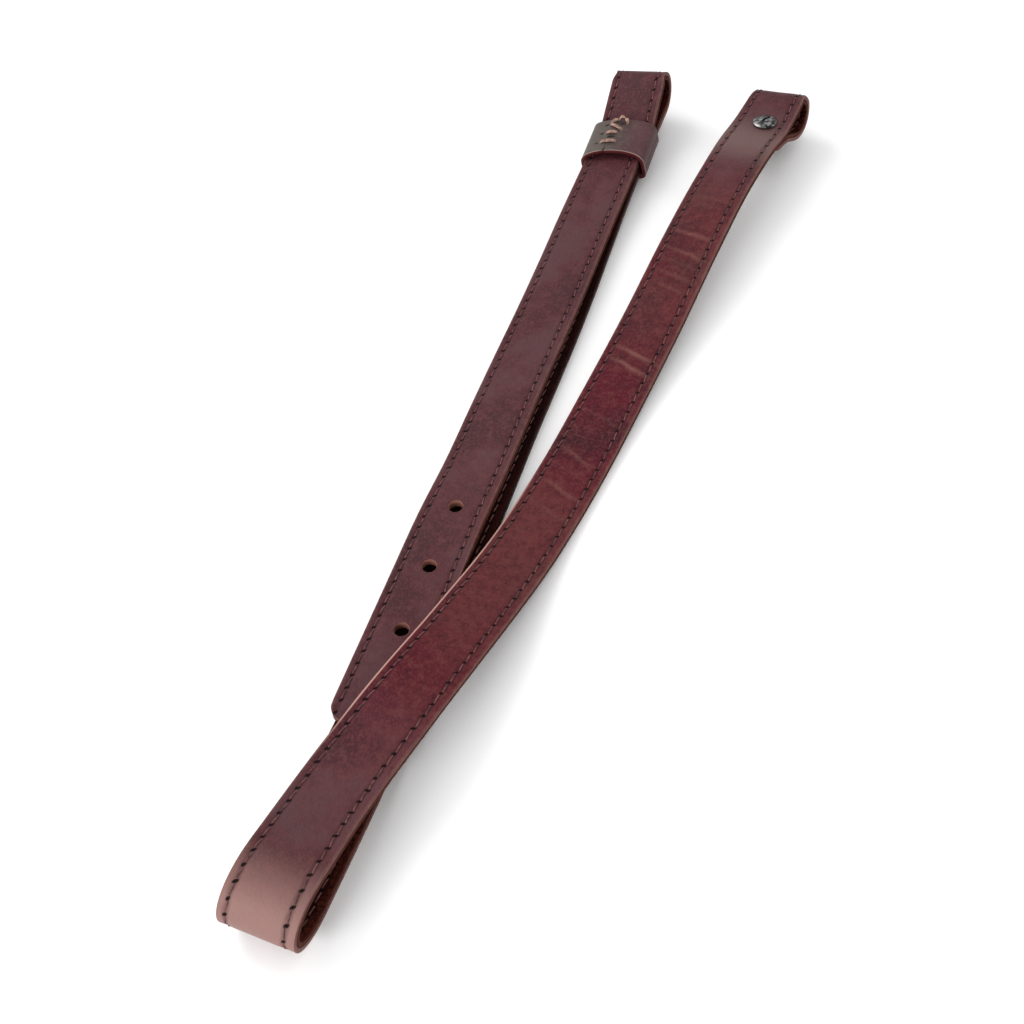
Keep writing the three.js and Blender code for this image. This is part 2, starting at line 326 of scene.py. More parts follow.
def leatherLayer(name, side):
    rows = rowDistances()
    columns = strap["columns"]
    inner, outer = side * strap["seam"] / 2, side * strap["thickness"] / 2
    bm = bmesh.new()
    bmesh.ops.create_grid(bm, x_segments=len(rows) - 1, y_segments=columns, size=0.5)
    for v in bm.verts:
        distance = rows[round((v.co.x + 0.5) * (len(rows) - 1))]
        v.co = Vector((distance, v.co.y * 2 * halfAt(distance), inner))
    bmesh.ops.solidify(bm, geom=bm.faces[:], thickness=abs(outer - inner))
    low = min(v.co.z for v in bm.verts)
    for v in bm.verts:
        v.co.z += min(inner, outer) - low
    bmesh.ops.recalc_face_normals(bm, faces=bm.faces[:])
    for place in holePlaces:
        punch(bm, place, outer)
    rim = [
        e for e in bm.edges
        if len(e.link_faces) == 2 and all(abs(v.co.z - outer) < 1e-4 for v in e.verts)
        and min(abs(f.normal.z) for f in e.link_faces) < 0.3
        and all(abs(abs(v.co.y) - halfAt(v.co.x)) < 1e-3 or v.co.x < 0.01 or v.co.x > total - 0.01 for v in e.verts)
    ]
    bmesh.ops.bevel(
        bm, geom=rim, offset=strap["edgeRound"], segments=3, profile=0.5, affect="EDGES", material=-1, clamp_overlap=True
    )
    map2d = bm.loops.layers.uv.new("strapMap")
    fromEdge = bm.verts.layers.float.new("fromEdge")
    height = bm.verts.layers.float.new("height")
    crease = bm.verts.layers.float.new("crease")
    fromHole = bm.verts.layers.float.new("fromHole")
    for f in bm.faces:
        f.smooth = True
        for loop in f.loops:
            x, y = loop.vert.co.x, loop.vert.co.y
            loop[map2d].uv = (x / 100, y / 100 * strap["width"] / 2 / straightHalf(x))
    for v in bm.verts:
        v[fromEdge] = halfAt(v.co.x) - abs(v.co.y)
        v[height] = abs(v.co.z)
        v[crease] = creaseTone(v.co.x, v.co.y)
        v[fromHole] = min(abs(math.hypot(v.co.x - x, v.co.y - y) - radius) for x, y, radius in holePlaces)
    for v in bm.verts:
        x, y, z = v.co
        share = (abs(z) - strap["seam"] / 2) / (strap["thickness"] / 2 - strap["seam"] / 2)
        if share > 0.5:
            z += side * relief(x, y) * min(1, (share - 0.5) * 2) * min(1, v[fromEdge] / 1.2 + 0.25)
        point, _, across, out = courseAt(x)
        v.co = (point + across * y + out * z) * mm
    return finished(name, bm)


def finished(name, bm, sharpAngle=50):
    mesh = bpy.data.meshes.new(name)
    bm.to_mesh(mesh)
    bm.free()
    obj = bpy.data.objects.new(name, mesh)
    bpy.context.scene.collection.objects.link(obj)
    mesh.set_sharp_from_angle(angle=math.radians(sharpAngle))
    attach(obj, "root")
    return obj


strapFace = leatherLayer("strapFace", 1)
strapLining = leatherLayer("strapLining", -1)
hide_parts("strap_face")
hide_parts("strap_lining")
print("leather layers", len(strapFace.data.polygons), len(strapLining.data.polygons))


# One thread of each row, as a tube that dips into its holes
def threadRow(bm, row, side):
    perStitch, sides = 10, 6
    first = math.ceil(stitching["fromEnd"] / stitching["pitch"])
    last = math.floor((total - stitching["fromEnd"]) / stitching["pitch"])
    rings = (last - first) * perStitch
    made = bmesh.ops.create_grid(bm, x_segments=rings, y_segments=sides, size=0.5)["verts"]
    surface = strap["thickness"] / 2
    for v in made:
        ring, corner = (v.co.x + 0.5) * rings, round((v.co.y + 0.5) * sides) % sides
        phase = ring % perStitch / perStitch
        distance = (first + ring / perStitch) * stitching["pitch"]
        scale = straightHalf(distance) / (strap["width"] / 2)
        near = min(phase, 1 - phase) * stitching["pitch"]
        lift = 1 - math.exp(-((near / 0.95) ** 2)) * 3.0
        slip = stitching["slant"] * (phase - 0.5) * (1 if row > 0 else -1)
        radius = stitching["threadRadius"] * (0.75 + 0.25 * min(1, near / 1.2))
        turn = corner / sides * 2 * math.pi
        y = (row + slip) * scale + radius * math.cos(turn)
        base = surface + relief(distance, row * scale) + stitching["threadRadius"] * 0.55 * lift
        point, _, across, out = courseAt(distance)
        v.co = (point + across * y + out * side * (base + radius * math.sin(turn))) * mm
    return made


def stitches(name, side):
    bm = bmesh.new()
    for row in stitching["rows"]:
        threadRow(bm, row, side)
    bmesh.ops.remove_doubles(bm, verts=bm.verts[:], dist=1e-6)
    ends = [e for e in bm.edges if e.is_boundary]
    bmesh.ops.holes_fill(bm, edges=ends, sides=0)
    bmesh.ops.recalc_face_normals(bm, faces=bm.faces[:])
    for f in bm.faces:
        f.smooth = True
    return finished(name, bm)


outerStitches = stitches("outerStitches", 1)
innerStitches = stitches("innerStitches", -1)
print("stitches done")


# The keeper's own frame: across the strap, up, and along it towards the fold
def keeperFrame():
    below, above = lying[1](lying[0] - keeper["fromBottom"]), tail[1](keeper["fromCrest"])
    ahead = (below[1] - above[1]).normalized()
    point, ahead, across, out = station((below[0] + above[0]) / 2 + shift, ahead, below[2] + above[2])
    frameAt = Matrix.Translation(point) @ Matrix((across, -out, -ahead)).transposed().to_4x4()
    return frameAt @ Matrix.Rotation(math.radians(keeper["turn"]), 4, "Y")


keeperPlace = keeperFrame()


def keeperOutline(turn, width, height, radius):
    c, s = math.cos(turn), math.sin(turn)
    power = 0.28 + 0.25 * radius / height
    return Vector((math.copysign(abs(c) ** power, c) * width / 2, math.copysign(abs(s) ** power, s) * height / 2, 0))


def sleeveSurface(turn, share, inset):
    width, height = keeper["width"] - 2 * inset, keeper["height"] - 2 * inset
    place = keeperOutline(turn, width, height, keeper["cornerRadius"])
    top = max(0, place.y / (height / 2))
    middle = max(0, 1 - (place.x / (width / 2)) ** 2)
    place.y += keeper["dome"] * top * middle * (0.25 + 0.75 * share ** 2)
    pulled = 2.2 * top * middle ** 0.7  # the near rim bows back on top
    place.z = (share - 0.5) * keeper["length"] - pulled * share ** 3 - keeper["farReach"] * top * middle * (1 - share) ** 2
    place.y += 0.12 * noise.noise(Vector((place.x / 5, place.z / 5, 5)))
    return place


def seamAcross(share):
    return keeper["seamAt"] + keeper["seamSlant"] * (0.5 - share)


def pricked(x, fromRim):
    return max(math.exp(-((math.dist((x, fromRim), hole) / 0.95) ** 2)) for hole in lacingHoles)


def sleeve(name):
    around, lengthwise = 176, 40
    bm = bmesh.new()
    bmesh.ops.create_grid(bm, x_segments=around, y_segments=lengthwise, size=0.5)
    map2d = bm.loops.layers.uv.new("strapMap")
    for f in bm.faces:
        f.smooth = True
        for loop in f.loops:
            loop[map2d].uv = (loop.vert.co.x * 0.9, loop.vert.co.y * keeper["length"] / 100)
    fromSeam = bm.verts.layers.float.new("fromSeam")
    fromRim = bm.verts.layers.float.new("fromRim")
    hole = bm.verts.layers.float.new("hole")
    aside = bm.verts.layers.float.new("aside")
    for v in bm.verts:
        turn, share = (v.co.x + 0.5) * 2 * math.pi, v.co.y + 0.5
        v.co = sleeveSurface(turn, share, keeper["wall"] / 2)
        onTop = v.co.y > 0
        v[aside] = v.co.x / keeper["width"] * 2
        v[fromRim] = (1 - share) * keeper["length"]
        v[fromSeam] = abs(v.co.x - seamAcross(share)) if onTop else 9
        v[hole] = pricked(v.co.x, v[fromRim]) if onTop else 0
        if onTop:
            v.co.y -= 0.55 * math.exp(-((v[fromSeam] / 0.55) ** 2)) + 0.6 * v[hole]
            v.co.z -= 0.7 * math.exp(-((v[fromSeam] / 0.9) ** 2)) * share ** 12  # the butted ends part at the rim
    bmesh.ops.remove_doubles(bm, verts=bm.verts[:], dist=1e-5)
    bmesh.ops.recalc_face_normals(bm, faces=bm.faces[:])
    for v in bm.verts:
        v.co = keeperPlace @ v.co * mm
    obj = finished(name, bm)
    wall = obj.modifiers.new("wall", "SOLIDIFY")
    wall.thickness = keeper["wall"] * mm
    wall.offset = 0
    rounded = obj.modifiers.new("rounded", "BEVEL")
    rounded.width = 0.45 * mm
    rounded.segments = 3
    rounded.limit_method = "ANGLE"
    rounded.angle_limit = math.radians(60)
    return obj


# The lacing, in mm: start and end across the sleeve, start and end from its near rim, how far it stands up; then its holes
lacing = [
    (-8.0, 0.9, 8.4, 8.7, 0.6), (-6.9, -0.2, 15.2, 15.2, 0.7), (-6.4, 1.4, 21.3, 17.0, 0.8), (-6.4, -1.9, 21.5, 24.0, 1.1),
    (-2.6, 1.6, 23.2, 24.2, 2.2), (1.3, 2.6, 24.2, 21.6, 1.2),
]
lacingHoles = [(-9.2, 8.1), (1.9, 7.8), (-8.5, 15.3), (2.7, 15.2), (-7.7, 21.2), (0.8, 21.8), (1.6, 21.0), (-4.2, 12.9)]

keeperSleeve = sleeve("keeperSleeve")
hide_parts("keeper")


def sleeveTop(x, fromRim):
    share = 1 - fromRim / keeper["length"]
    lo, hi = 0.02, math.pi - 0.02
    for _ in range(30):
        turn = (lo + hi) / 2
        if sleeveSurface(turn, share, 0).x > x:
            lo = turn
        else:
            hi = turn
    return sleeveSurface((lo + hi) / 2, share, 0)


def laces(name):
    bm = bmesh.new()
    rings, sides = 18, 8
    for x0, x1, r0, r1, proud in lacing:
        made = bmesh.ops.create_grid(bm, x_segments=rings, y_segments=sides, size=0.5)["verts"]
        run = Vector((x1 - x0, 0, r0 - r1)).normalized()
        sideways = Vector((-run.z, 0, run.x))
        for v in made:
            t, turn = v.co.x + 0.5, round((v.co.y + 0.5) * sides) % sides / sides * 2 * math.pi
            place = sleeveTop(x0 + (x1 - x0) * t, r0 + (r1 - r0) * t)
            near = min(t, 1 - t)
            lift = proud * math.sin(math.pi * t) - 1.3 * math.exp(-((near / 0.06) ** 2))
            radius = 0.9 * (0.8 + 0.2 * math.sin(math.pi * t))
            place += sideways * radius * math.cos(turn) + Vector((0, 0.3 + lift + radius * 0.7 * math.sin(turn), 0))
            v.co = keeperPlace @ place * mm
    bmesh.ops.remove_doubles(bm, verts=bm.verts[:], dist=1e-6)
    bmesh.ops.holes_fill(bm, edges=[e for e in bm.edges if e.is_boundary], sides=0)
    bmesh.ops.recalc_face_normals(bm, faces=bm.faces[:])
    for f in bm.faces:
        f.smooth = True
    return finished(name, bm)


keeperLacing = laces("keeperLacing")
print("keeper done")


# The screw's own frame, square to the strap under its head
def screwFrame():
    point, ahead, across, out = carrying[1](screw["fromCrest"])
    point = point + across * screw["across"] + shift
    return Matrix.Translation(point) @ Matrix((ahead, across, out)).transposed().to_4x4()


screwPlace = screwFrame()


def turned(profile, steps=48):
    bm = bmesh.new()
    verts = [bm.verts.new((r, 0, z)) for r, z in profile]
    edges = [bm.edges.new(pair) for pair in zip(verts, verts[1:])]
    bmesh.ops.spin(bm, geom=verts + edges, cent=(0, 0, 0), axis=(0, 0, 1), angle=2 * math.pi, steps=steps, use_merge=True)
    bmesh.ops.remove_doubles(bm, verts=bm.verts[:], dist=1e-4)
    bmesh.ops.recalc_face_normals(bm, faces=bm.faces[:])
    for f in bm.faces:
        f.smooth = True
    return bm


def screwHead(name):
    radius, crown = screw["headDiameter"] / 2, screw["headCrown"]
    seat = strap["thickness"] / 2 + screw["gap"] - 0.15
    top = seat + screw["headRim"]
    domeRadius = (radius ** 2 + crown ** 2) / (2 * crown)
    profile = [(0, seat), (radius - 0.25, seat), (radius, seat + 0.2), (radius, top - 0.15), (radius - 0.12, top)]
    for i in range(1, 11):
        r = (radius - 0.12) * (1 - i / 10)
        profile.append((r, top + crown - domeRadius + math.sqrt(domeRadius ** 2 - r * r)))
    bm = turned(profile)
    half, floor = screw["slotWidth"] / 2, top + crown - screw["slotDepth"]
    for sign in (-1, 1):
        bmesh.ops.bisect_plane(bm, geom=bm.verts[:] + bm.edges[:] + bm.faces[:], plane_co=(0, sign * half, 0), plane_no=(0, 1, 0))
    bmesh.ops.bisect_plane(bm, geom=bm.verts[:] + bm.edges[:] + bm.faces[:], plane_co=(0, 0, floor), plane_no=(0, 0, 1))
    inSlot = [f for f in bm.faces if abs(f.calc_center_median().y) < half and f.calc_center_median().z > floor + 1e-4]
    sunk = bmesh.ops.extrude_face_region(bm, geom=inSlot)["geom"]
    for item in sunk:
        if isinstance(item, bmesh.types.BMVert):
            item.co.z = floor
    bmesh.ops.delete(bm, geom=[f for f in inSlot if f.is_valid], context="FACES")
    bmesh.ops.remove_doubles(bm, verts=bm.verts[:], dist=1e-3)
    bmesh.ops.recalc_face_normals(bm, faces=bm.faces[:])
    bmesh.ops.rotate(bm, verts=bm.verts[:], cent=(0, 0, 0), matrix=Matrix.Rotation(math.radians(screw["slotTurn"]), 3, "Z"))
    bmesh.ops.rotate(bm, verts=bm.verts[:], cent=(0, 0, seat), matrix=Matrix.Rotation(math.radians(-screw["headTilt"]), 3, "Y"))
    for v in bm.verts:
        v.co = screwPlace @ v.co * mm
    return finished(name, bm, 35)


def screwPost(name):
    clampBottom = -strap["thickness"] * 1.5 - screw["clampGap"] - screw["flapDrop"]
    top, r, b = clampBottom - screw["gap"] + 0.1, screw["flangeDiameter"] / 2, screw["barrelDiameter"] / 2
    low = top - screw["flangeThickness"]
    bm = turned([(0, low), (r - 0.3, low), (r, low + 0.3), (r, top), (b, top), (b, strap["thickness"] / 2), (0, strap["thickness"] / 2)], 36)
    for v in bm.verts:
        v.co = screwPlace @ v.co * mm
    return finished(name, bm, 35)


headPiece = screwHead("screwHead")
postPiece = screwPost("screwPost")
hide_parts("screw_head")
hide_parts("screw_post")
print("screw done")


# A colour as a picture shows it, from 0 to 255
def tone(red, green, blue):
    return (*(c / 255 / 12.92 if c <= 10 else ((c / 255 + 0.055) / 1.055) ** 2.4 for c in (red, green, blue)), 1)


class Nodes:
    def __init__(self, tree):
        self.tree = tree

    def add(self, kind, inputs=None, **settings):
        node = self.tree.nodes.new(kind)
        for key, value in settings.items():
            setattr(node, key, value)
        for key, value in (inputs or {}).items():
            socket = node.inputs[key]
            if isinstance(value, bpy.types.NodeSocket):
                self.tree.links.new(value, socket)
            else:
                socket.default_value = value
        return node

    def math(self, operation, a, b=0.0, c=0.0, clamp=False):
        return self.add("ShaderNodeMath", {0: a, 1: b, 2: c}, operation=operation, use_clamp=clamp).outputs[0]

    def ramp(self, value, low, high, toLow=0.0, toHigh=1.0):
        node = self.add("ShaderNodeMapRange", {"Value": value, "From Min": low, "From Max": high, "To Min": toLow, "To Max": toHigh})
        node.interpolation_type = "SMOOTHSTEP"
        return node.outputs[0]

    def mix(self, factor, a, b, blend="MIX"):
        node = self.add("ShaderNodeMix", data_type="RGBA", blend_type=blend)
        for socket, value in ((node.inputs[0], factor), (node.inputs[6], a), (node.inputs[7], b)):
            if isinstance(value, bpy.types.NodeSocket):
                self.tree.links.new(value, socket)
            else:
                socket.default_value = value
        return node.outputs[2]

    def noise(self, vector, scale, detail=3.0, roughness=0.5, output=0):
        return self.add("ShaderNodeTexNoise", {"Vector": vector, "Scale": scale, "Detail": detail, "Roughness": roughness}).outputs[output]


def nodeGroup(name, inputs, outputs):
    group = bpy.data.node_groups.new(name, "ShaderNodeTree")
    for kind, label in inputs:
        group.interface.new_socket(label, in_out="INPUT", socket_type=kind)
    for kind, label in outputs:
        group.interface.new_socket(label, in_out="OUTPUT", socket_type=kind)
    nodes = Nodes(group)
    return group, nodes, nodes.add("NodeGroupInput").outputs, nodes.add("NodeGroupOutput")


def oiledLeatherGroup():
    group, n, given, out = nodeGroup(
        "oiledLeather",
        [("NodeSocketVector", "Place"), ("NodeSocketColor", "Dark"), ("NodeSocketColor", "Middle"), ("NodeSocketColor", "Light")],
        [("NodeSocketColor", "Color"), ("NodeSocketFloat", "Grain"), ("NodeSocketFloat", "Patches")],
    )
    patches = n.noise(given["Place"], 26, 4, 0.62)
    clouds = n.noise(given["Place"], 9, 2, 0.5)
    specks = n.noise(given["Place"], 900, 2, 0.6)
    mottles = n.noise(given["Place"], 260, 3, 0.65)
    color = n.mix(n.ramp(patches, 0.34, 0.6, 0.15), given["Dark"], given["Middle"])
    color = n.mix(n.ramp(clouds, 0.46, 0.7, 0, 0.6), color, given["Light"])
    color = n.mix(n.ramp(mottles, 0.5, 0.66, 0, 0.5), color, given["Light"])
    color = n.mix(n.ramp(mottles, 0.5, 0.34, 0, 0.38), color, given["Dark"])
    color = n.mix(n.ramp(specks, 0.46, 0.66, 0, 0.5), color, given["Light"])
    color = n.mix(n.ramp(n.noise(given["Place"], 620, 2, 0.6), 0.5, 0.36, 0, 0.25), color, given["Dark"])
    pores = n.add("ShaderNodeTexVoronoi", {"Vector": given["Place"], "Scale": 1300.0}, feature="F1").outputs["Distance"]
    grain = n.math("ADD", n.math("MULTIPLY", pores, 0.5), n.noise(given["Place"], 420, 4, 0.6))
    for label, value in (("Color", color), ("Grain", grain), ("Patches", patches)):
        group.links.new(value, out.inputs[label])
    return group


def stitchRowGroup():
    group, n, given, out = nodeGroup(
        "stitchRow",
        [("NodeSocketVector", "Map"), ("NodeSocketFloat", "Row"), ("NodeSocketFloat", "Pitch")],
        [("NodeSocketFloat", "Hole"), ("NodeSocketFloat", "Trough")],
    )
    parts = n.add("ShaderNodeSeparateXYZ", {0: given["Map"]}).outputs
    wobble = n.math("MULTIPLY", n.math("SUBTRACT", n.noise(given["Map"], 22, 2), 0.5), 0.016)
    count = n.math("DIVIDE", parts["X"], given["Pitch"])
    around = n.math("MULTIPLY", n.math("SUBTRACT", n.math("FRACT", n.math("ADD", count, 0.5)), 0.5), given["Pitch"])
    aside = n.math("ADD", n.math("SUBTRACT", parts["Y"], given["Row"]), wobble)
    slanted = n.math("ADD", aside, n.math("MULTIPLY", around, 0.45))
    a = n.math("DIVIDE", around, stitching["holeLength"] / 200)
    b = n.math("DIVIDE", slanted, stitching["holeWidth"] / 200)
    reach = n.math("SQRT", n.math("ADD", n.math("MULTIPLY", a, a), n.math("MULTIPLY", b, b)))
    trough = n.ramp(n.math("ABSOLUTE", aside), 0.004, 0.016, 1, 0)
    group.links.new(n.ramp(reach, 0.75, 1.25, 1, 0), out.inputs["Hole"])
    group.links.new(trough, out.inputs["Trough"])
    return group


oiledLeather = oiledLeatherGroup()
stitchRow = stitchRowGroup()


def material(name, **values):
    made = bpy.data.materials.new(name)
    made.use_nodes = True
    shader = made.node_tree.nodes["Principled BSDF"]
    for key, value in values.items():
        shader.inputs[key].default_value = value
    return made, Nodes(made.node_tree), shader


def strapLeather(name, dark, middle, light, edge, wall, bump, cool=None, pulled=None, **values):
    made, n, shader = material(name, **values)
    place = n.add("ShaderNodeTexCoord").outputs["Object"]
    flat = n.add("ShaderNodeUVMap", uv_map="strapMap").outputs["UV"]
    leather = n.add("ShaderNodeGroup", {}, node_tree=oiledLeather)
    made.node_tree.links.new(place, leather.inputs["Place"])
    for label, value in (("Dark", dark), ("Middle", middle), ("Light", light)):
        leather.inputs[label].default_value = tone(*value)
    color, grain = leather.outputs["Color"], leather.outputs["Grain"]
    fromEdge = n.add("ShaderNodeAttribute", attribute_name="fromEdge").outputs["Fac"]
    height = n.add("ShaderNodeAttribute", attribute_name="height").outputs["Fac"]
    holesMask, trough = None, None
    for row in stitching["rows"]:
        group = n.add("ShaderNodeGroup", {}, node_tree=stitchRow)
        made.node_tree.links.new(flat, group.inputs["Map"])
        group.inputs["Row"].default_value = row / 100
        group.inputs["Pitch"].default_value = stitching["pitch"] / 100
        holesMask = group.outputs["Hole"] if holesMask is None else n.math("MAXIMUM", holesMask, group.outputs["Hole"])
        trough = group.outputs["Trough"] if trough is None else n.math("MAXIMUM", trough, group.outputs["Trough"])
    onTop = n.ramp(fromEdge, 0.02, 0.12)
    holesMask = n.math("MULTIPLY", holesMask, onTop)
    worn = n.noise(place, 300, 3, 0.7)
    bevelLine = n.math("MULTIPLY", n.ramp(fromEdge, 0.9, 0.25), n.ramp(worn, 0.35, 0.6, 0.35, 1))
    onWall = n.math("MULTIPLY", n.ramp(fromEdge, 0.1, 0.02), n.ramp(height, 1.75, 1.45))
    distance = n.add("ShaderNodeSeparateXYZ", {0: flat}).outputs["X"]
    if cool:
        # a greyer tone outside the red middle of the carrying half: real tone on the lying half and tail, and near the
        # screw loop partly a painted sheen
        redHalf = n.ramp(distance, (startOf["carrying"] + 40) / 100, (startOf["carrying"] + 90) / 100)
        redHalf = n.math("MULTIPLY", redHalf, n.ramp(distance, foldAt / 100 - 1.1, foldAt / 100 - 0.5, 1, 0))
        coolHalf = n.mix(n.ramp(leather.outputs["Patches"], 0.42, 0.62, 0.3, 0.8), color, tone(*cool))
        color = n.mix(n.math("SUBTRACT", 1, redHalf), color, coolHalf)
        # painted sheen: a greyer, lighter patch just past the screw
        pastScrew = n.math("ABSOLUTE", n.math("SUBTRACT", distance, (screwAt + 16) / 100))
        color = n.mix(n.ramp(pastScrew, 0.02, 0.22, 0.55, 0), color, tone(112, 92, 88))
        # lighter round the fold: partly real pull-up lightening where the leather bends, partly a painted highlight on
        # the fold's front face
        pullUpAndHighlightAtFold = n.ramp(n.math("ABSOLUTE", n.math("SUBTRACT", distance, foldAt / 100)), 0.04, 0.31, 1, 0)
        color = n.mix(n.math("MULTIPLY", pullUpAndHighlightAtFold, 0.68), color, tone(*pulled))
    crease = n.add("ShaderNodeAttribute", attribute_name="crease").outputs["Fac"]
    color = n.mix(n.math("MULTIPLY", crease, 0.5), color, tone(*edge))
    color = n.mix(n.math("MULTIPLY", trough, 0.35), color, tone(*dark))
    color = n.mix(n.math("MULTIPLY", bevelLine, 0.3), color, tone(*edge))
    color = n.mix(onWall, color, n.mix(n.ramp(worn, 0.45, 0.75, 0, 0.6), tone(*wall), tone(*edge)))
    seamLine = n.math("MULTIPLY", n.ramp(height, 0.35, 0.15), n.ramp(fromEdge, 0.1, 0.02))
    color = n.mix(n.math("MULTIPLY", seamLine, 0.55), color, tone(24, 10, 10))
    if cool:
        # painted highlight: one edge of the carrying half is lightened over the crossing
        aside = n.ramp(n.add("ShaderNodeSeparateXYZ", {0: flat}).outputs["Y"], -0.11, -0.1, 1, 0)
        reach = n.math("SUBTRACT", distance, (startOf["carrying"] + litEdge["from"] + litEdge["length"] / 2) / 100)
        lit = n.ramp(n.math("ABSOLUTE", reach), litEdge["length"] / 200, litEdge["length"] / 200 - 0.3)
        lit = n.math("MULTIPLY", n.math("MULTIPLY", aside, lit), n.ramp(fromEdge, 0.75, 0.35))
        color = n.mix(n.math("MULTIPLY", lit, 0.85), color, tone(*litEdge["color"]))
    fromHole = n.add("ShaderNodeAttribute", attribute_name="fromHole").outputs["Fac"]
    color = n.mix(n.ramp(fromHole, 0.25, 0.05, 0, 0.85), color, tone(*holes["wallColor"]))
    # painted shade: the lying half, under the tail, is darkened on both its sides
    shadeUnderTail = n.math("MULTIPLY", n.ramp(distance, foldAt / 100 + 0.5, foldAt / 100 + 1.3), n.ramp(distance, startOf["tailLoop"] / 100 - 0.3, startOf["tailLoop"] / 100, 1, 0))
    color = n.mix(n.math("MULTIPLY", shadeUnderTail, 0.75), color, tone(18, 5, 6))
    color = n.mix(holesMask, color, tone(20, 6, 7))
    made.node_tree.links.new(color, shader.inputs["Base Color"])
    rough = n.ramp(leather.outputs["Patches"], 0.3, 0.7, values["Roughness"] - 0.06, values["Roughness"] + 0.1)
    made.node_tree.links.new(n.math("MAXIMUM", rough, n.math("MULTIPLY", holesMask, 0.9)), shader.inputs["Roughness"])
    relief = n.math("SUBTRACT", n.math("MULTIPLY", grain, bump), n.math("MULTIPLY", holesMask, 0.8))
    relief = n.math("SUBTRACT", relief, n.math("MULTIPLY", trough, 0.15))
    bumped = n.add("ShaderNodeBump", {"Height": relief, "Strength": 0.7, "Distance": 0.0006})
    made.node_tree.links.new(bumped.outputs["Normal"], shader.inputs["Normal"])
    return made


grainLeather = strapLeather(
    "grainLeather", (40, 5, 14), (76, 8, 25), (93, 46, 45), (128, 88, 78), (100, 60, 53), 0.5, (78, 53, 56), (150, 116, 109),
    **{"Roughness": 0.52, "Specular IOR Level": 0.13},
)
fleshLeather = strapLeather(
    "fleshLeather", (20, 2, 2), (44, 8, 7), (88, 38, 26), (100, 60, 50), (76, 40, 34), 1.2,
    **{"Roughness": 0.9, "Specular IOR Level": 0.05},
)
strapFace.data.materials.append(grainLeather)
strapLining.data.materials.append(fleshLeather)


def sleeveLeather(name):
    made, n, shader = material(name, **{"Roughness": 0.5, "Specular IOR Level": 0.25})
    place = n.add("ShaderNodeTexCoord").outputs["Object"]
    leather = n.add("ShaderNodeGroup", {}, node_tree=oiledLeather)
    made.node_tree.links.new(place, leather.inputs["Place"])
    for label, value in (("Dark", (50, 36, 37)), ("Middle", (70, 42, 45)), ("Light", (84, 72, 64))):
        leather.inputs[label].default_value = tone(*value)
    color = leather.outputs["Color"]
    aside = n.add("ShaderNodeAttribute", attribute_name="aside").outputs["Fac"]
    color = n.mix(n.ramp(aside, 0.35, -0.5, 0, 0.6), color, tone(84, 76, 70))
    color = n.mix(n.ramp(aside, -0.1, 0.6, 0, 0.5), color, tone(78, 34, 44))
    fromRim = n.add("ShaderNodeAttribute", attribute_name="fromRim").outputs["Fac"]
    color = n.mix(n.ramp(fromRim, 1.0, 0.5, 0, 0.8), color, tone(150, 126, 116))
    color = n.mix(n.ramp(fromRim, 0.3, 0.1), color, tone(66, 14, 16))
    seam = n.ramp(n.add("ShaderNodeAttribute", attribute_name="fromSeam").outputs["Fac"], 0.7, 0.3)
    hole = n.ramp(n.add("ShaderNodeAttribute", attribute_name="hole").outputs["Fac"], 0.15, 0.45)
    color = n.mix(n.math("MULTIPLY", n.math("MAXIMUM", seam, hole), 0.92), color, tone(18, 6, 8))
    made.node_tree.links.new(color, shader.inputs["Base Color"])
    bumped = n.add("ShaderNodeBump", {"Height": leather.outputs["Grain"], "Strength": 0.3, "Distance": 0.0003})
    made.node_tree.links.new(bumped.outputs["Normal"], shader.inputs["Normal"])
    return made


keeperSleeve.data.materials.append(sleeveLeather("sleeveLeather"))


def threadMaterial(name, color, twist):
    made, n, shader = material(name, **{"Roughness": 0.75, "Specular IOR Level": 0.3})
    place = n.add("ShaderNodeTexCoord").outputs["Object"]
    worn = n.noise(place, 500, 3, 0.6)
    shade = n.mix(n.ramp(worn, 0.35, 0.65), tone(*(c * 0.62 for c in color)), tone(*color))
    made.node_tree.links.new(shade, shader.inputs["Base Color"])
    strands = n.noise(place, twist, 2, 0.6)
    bumped = n.add("ShaderNodeBump", {"Height": strands, "Strength": 0.5, "Distance": 0.0002})
    made.node_tree.links.new(bumped.outputs["Normal"], shader.inputs["Normal"])
    return made


thread = threadMaterial("waxedThread", stitching["color"], 2600)
outerStitches.data.materials.append(thread)
innerStitches.data.materials.append(thread)
keeperLacing.data.materials.append(threadMaterial("lacingCord", (164, 128, 114), 1800))


def blackenedSteel(name):
    made, n, shader = material(name, **{"Metallic": 1.0, "Roughness": 0.3})
    place = n.add("ShaderNodeTexCoord").outputs["Object"]
    tarnish = n.noise(place, 420, 3, 0.6)
    made.node_tree.links.new(n.mix(n.ramp(tarnish, 0.4, 0.62), tone(40, 42, 42), tone(*screw["color"])), shader.inputs["Base Color"])
    made.node_tree.links.new(n.ramp(tarnish, 0.3, 0.7, 0.18, 0.36), shader.inputs["Roughness"])
    return made


steel = blackenedSteel("blackenedSteel")
for piece in (headPiece, postPiece):
    piece.data.materials.append(steel)
print("materials done")


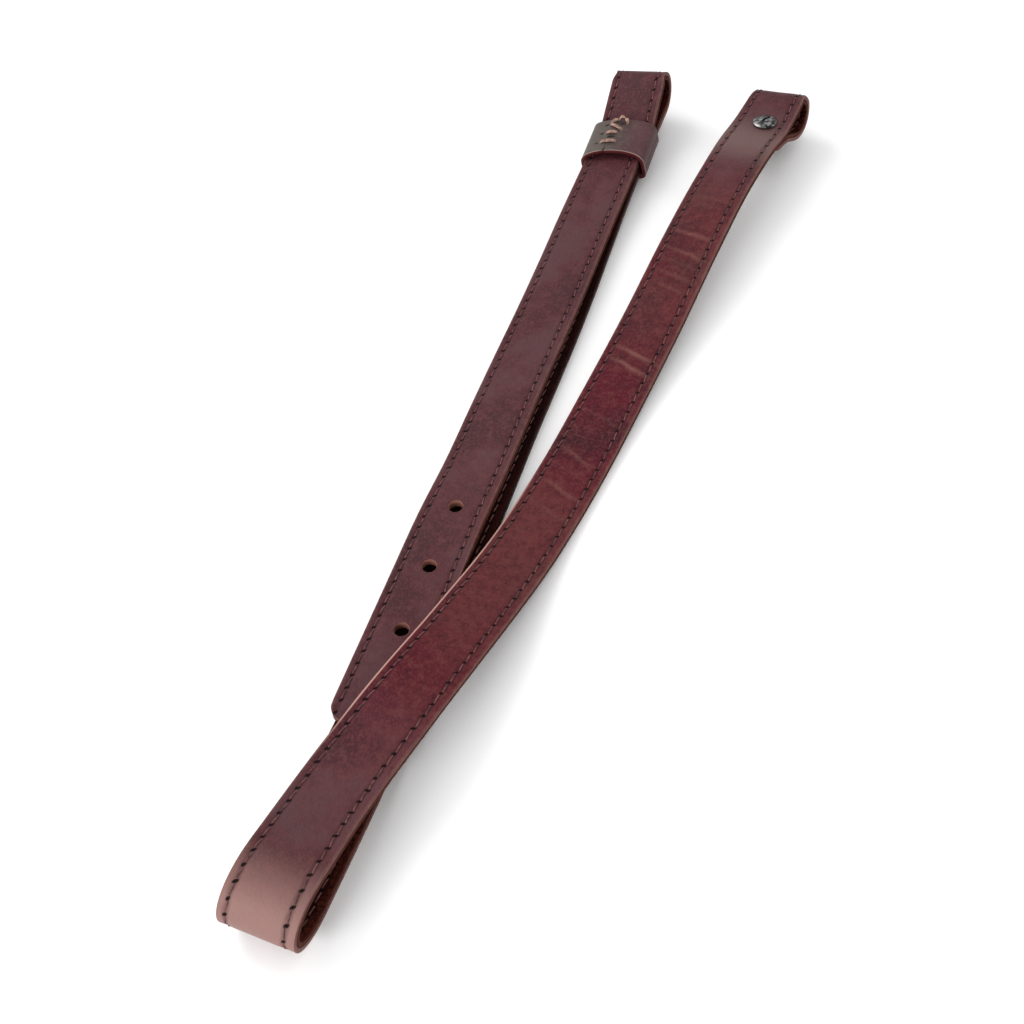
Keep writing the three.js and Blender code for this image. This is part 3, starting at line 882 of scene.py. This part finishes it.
light = {
    "world": 0.98,
    "key": {"place": (-0.75, 0.25, 0.85), "size": 0.7, "power": 5},
    "front": {"place": (-0.3, -1.1, 0.5), "size": 0.6, "power": 7.5},
    "floor": (0.92, 0.92, 0.92, 1),
}
view = {"place": (186.7, -364.5, 466.7), "azimuth": 29, "down": 50.89, "roll": -7.7, "lens": 52.73, "sensor": 36}


def paleFloor():
    bm = bmesh.new()
    bmesh.ops.create_grid(bm, x_segments=1, y_segments=1, size=6)
    mesh = bpy.data.meshes.new("floor")
    bm.to_mesh(mesh)
    bm.free()
    obj = bpy.data.objects.new("floor", mesh)
    bpy.context.scene.collection.objects.link(obj)
    made, _, shader = material("paleFloor", **{"Roughness": 0.9, "Specular IOR Level": 0.1, "Base Color": light["floor"]})
    mesh.materials.append(made)


def softbox(name, place, size, power):
    lamp = bpy.data.lights.new(name, "AREA")
    lamp.shape = "DISK"
    lamp.size = size
    lamp.energy = power
    obj = bpy.data.objects.new(name, lamp)
    bpy.context.scene.collection.objects.link(obj)
    obj.location = place
    obj.rotation_euler = (-Vector(place)).to_track_quat("-Z", "Y").to_euler()


paleFloor()
softbox("keyLight", **light["key"])
softbox("frontLight", **light["front"])
world = bpy.data.worlds.new("studio")
world.use_nodes = True
world.node_tree.nodes["Background"].inputs["Color"].default_value = (1, 1, 1, 1)
world.node_tree.nodes["Background"].inputs["Strength"].default_value = light["world"]
bpy.context.scene.world = world
bpy.context.scene.view_settings.view_transform = "Standard"  # a white ground, and colours as they are set

azimuth, down, roll = (math.radians(view[key]) for key in ("azimuth", "down", "roll"))
forward = Vector((-math.sin(azimuth) * math.cos(down), math.cos(azimuth) * math.cos(down), -math.sin(down)))
level = Vector((math.cos(azimuth), math.sin(azimuth), 0))
upright = level.cross(forward)
right = level * math.cos(roll) + upright * math.sin(roll)
upward = upright * math.cos(roll) - level * math.sin(roll)
camera = bpy.data.cameras.new("camera")
camera.lens = view["lens"]
camera.sensor_width = view["sensor"]
cameraObject = bpy.data.objects.new("camera", camera)
bpy.context.scene.collection.objects.link(cameraObject)
cameraObject.matrix_world = Matrix.Translation((Vector(view["place"]) + shift) * mm) @ Matrix((right, upward, -forward)).transposed().to_4x4()
bpy.context.scene.camera = cameraObject

bpy.context.view_layer.update()
